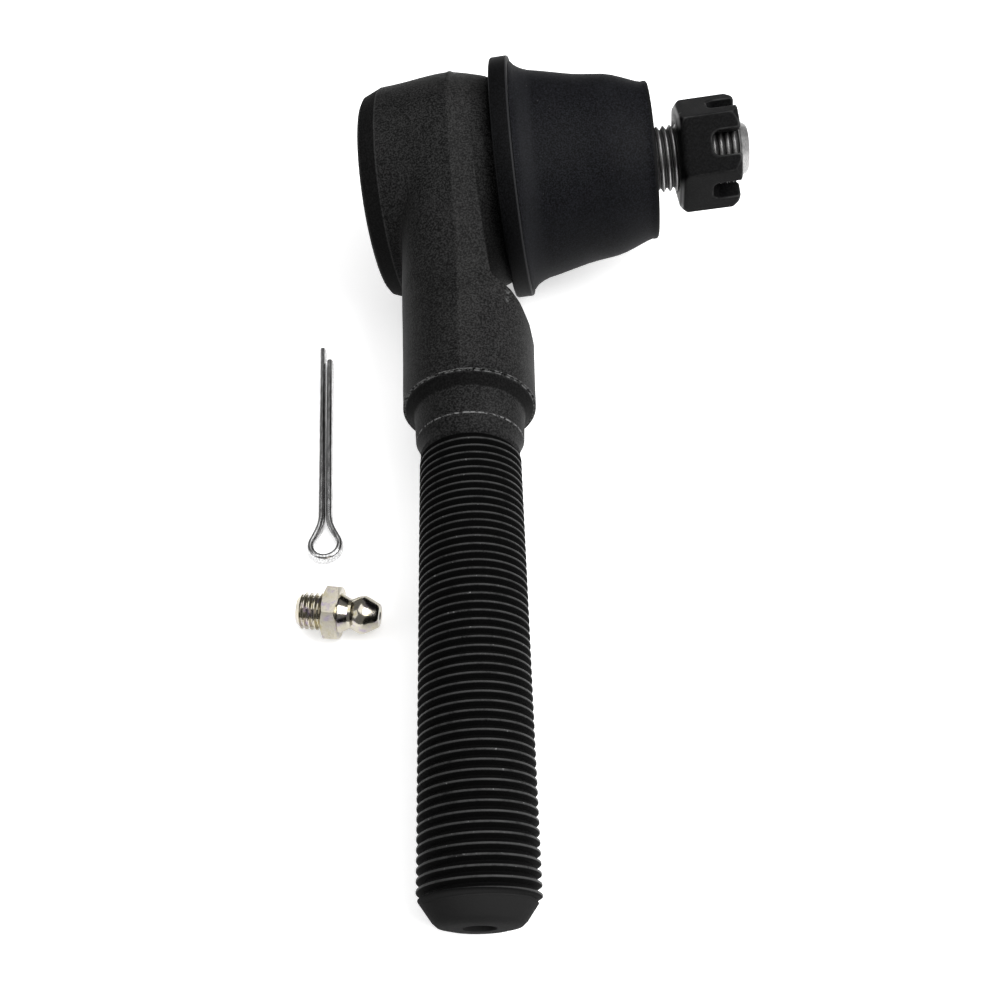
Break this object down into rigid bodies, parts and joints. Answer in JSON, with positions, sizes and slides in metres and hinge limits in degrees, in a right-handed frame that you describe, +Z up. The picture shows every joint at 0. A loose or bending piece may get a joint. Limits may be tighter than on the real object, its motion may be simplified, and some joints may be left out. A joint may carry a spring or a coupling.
{
  "type": "tie rod end",
  "caption": "Outer tie rod end: forged socket with a long threaded shank, ball stud, rubber dust boot and castle nut, with a loose cotter pin and grease fitting.",
  "frame": {"origin": "centre of the ball in the socket", "axes": "+X along the stud's axis at rest, from the socket to the nut; -Y along the shank's axis to its threaded end; +Z up, away from the table that the part lies on"},
  "size_m": [0.0893, 0.1656, 0.0468],
  "materials": {
    "forging_black": "matte black coating over a forged skin",
    "cover_black": "black coated stamping",
    "bearing_plastic": "acetal, semi-matt",
    "spring_steel": "oiled spring steel",
    "flange_black": "moulded, satin",
    "boot_rubber": "satin, slightly bluish black",
    "stud_steel": "machined, bare",
    "nut_black": "satin black oxide",
    "pin_steel": "bright zinc",
    "fitting_plate": "bright plated, faint warm tint",
    "ball_steel": "polished"
  },
  "bodies": {
    "housing": {"housing": "forging_black", "cover_plate": "cover_black", "upper_bearing": "bearing_plastic", "spring_washer": "spring_steel", "preload_spring": "spring_steel", "boot_flange": "flange_black"},
    "seat": {"ball_seat": "bearing_plastic"},
    "rocker": {"dust_boot": "boot_rubber", "boot_end_ring": "spring_steel"},
    "stud": {"ball_stud": "stud_steel"},
    "nut": {"castle_nut": "nut_black"},
    "pin": {"cotter_pin": "pin_steel"},
    "fitting": {"grease_fitting": "fitting_plate", "fitting_spring": "spring_steel"},
    "check": {"fitting_check_ball": "ball_steel"}
  },
  "joints": [
    {"name": "swing_heading", "type": "hinge", "parent": "housing", "child": "seat", "pos_m": [0, 0, 0], "axis": [1, 0, 0], "continuous": true},
    {"name": "stud_swing", "type": "hinge", "parent": "seat", "child": "rocker", "pos_m": [0, 0, 0], "axis": [0, 0, 1], "range_deg": [-22, 22], "deforming": ["dust_boot"]},
    {"name": "stud_spin", "type": "hinge", "parent": "rocker", "child": "stud", "pos_m": [0, 0, 0], "axis": [1, 0, 0], "continuous": true},
    {"name": "castle_nut_turn", "type": "hinge", "parent": "stud", "child": "nut", "pos_m": [0.0489, 0, 0], "axis": [1, 0, 0], "continuous": true},
    {"name": "cotter_pin_lift", "type": "slide", "parent": "housing", "child": "pin", "axis": [0, 0, 1], "range_m": [0, 0.06]},
    {"name": "grease_fitting_lift", "type": "slide", "parent": "housing", "child": "fitting", "axis": [0, 0, 1], "range_m": [0, 0.06]},
    {"name": "check_ball_press", "type": "slide", "parent": "fitting", "child": "check", "axis": [-0.9869, 0.1204, 0.1069], "range_m": [0, 0.0009], "stiffness_N_per_m": 200, "springref_m": -0.002, "deforming": ["fitting_spring"]}
  ]
}
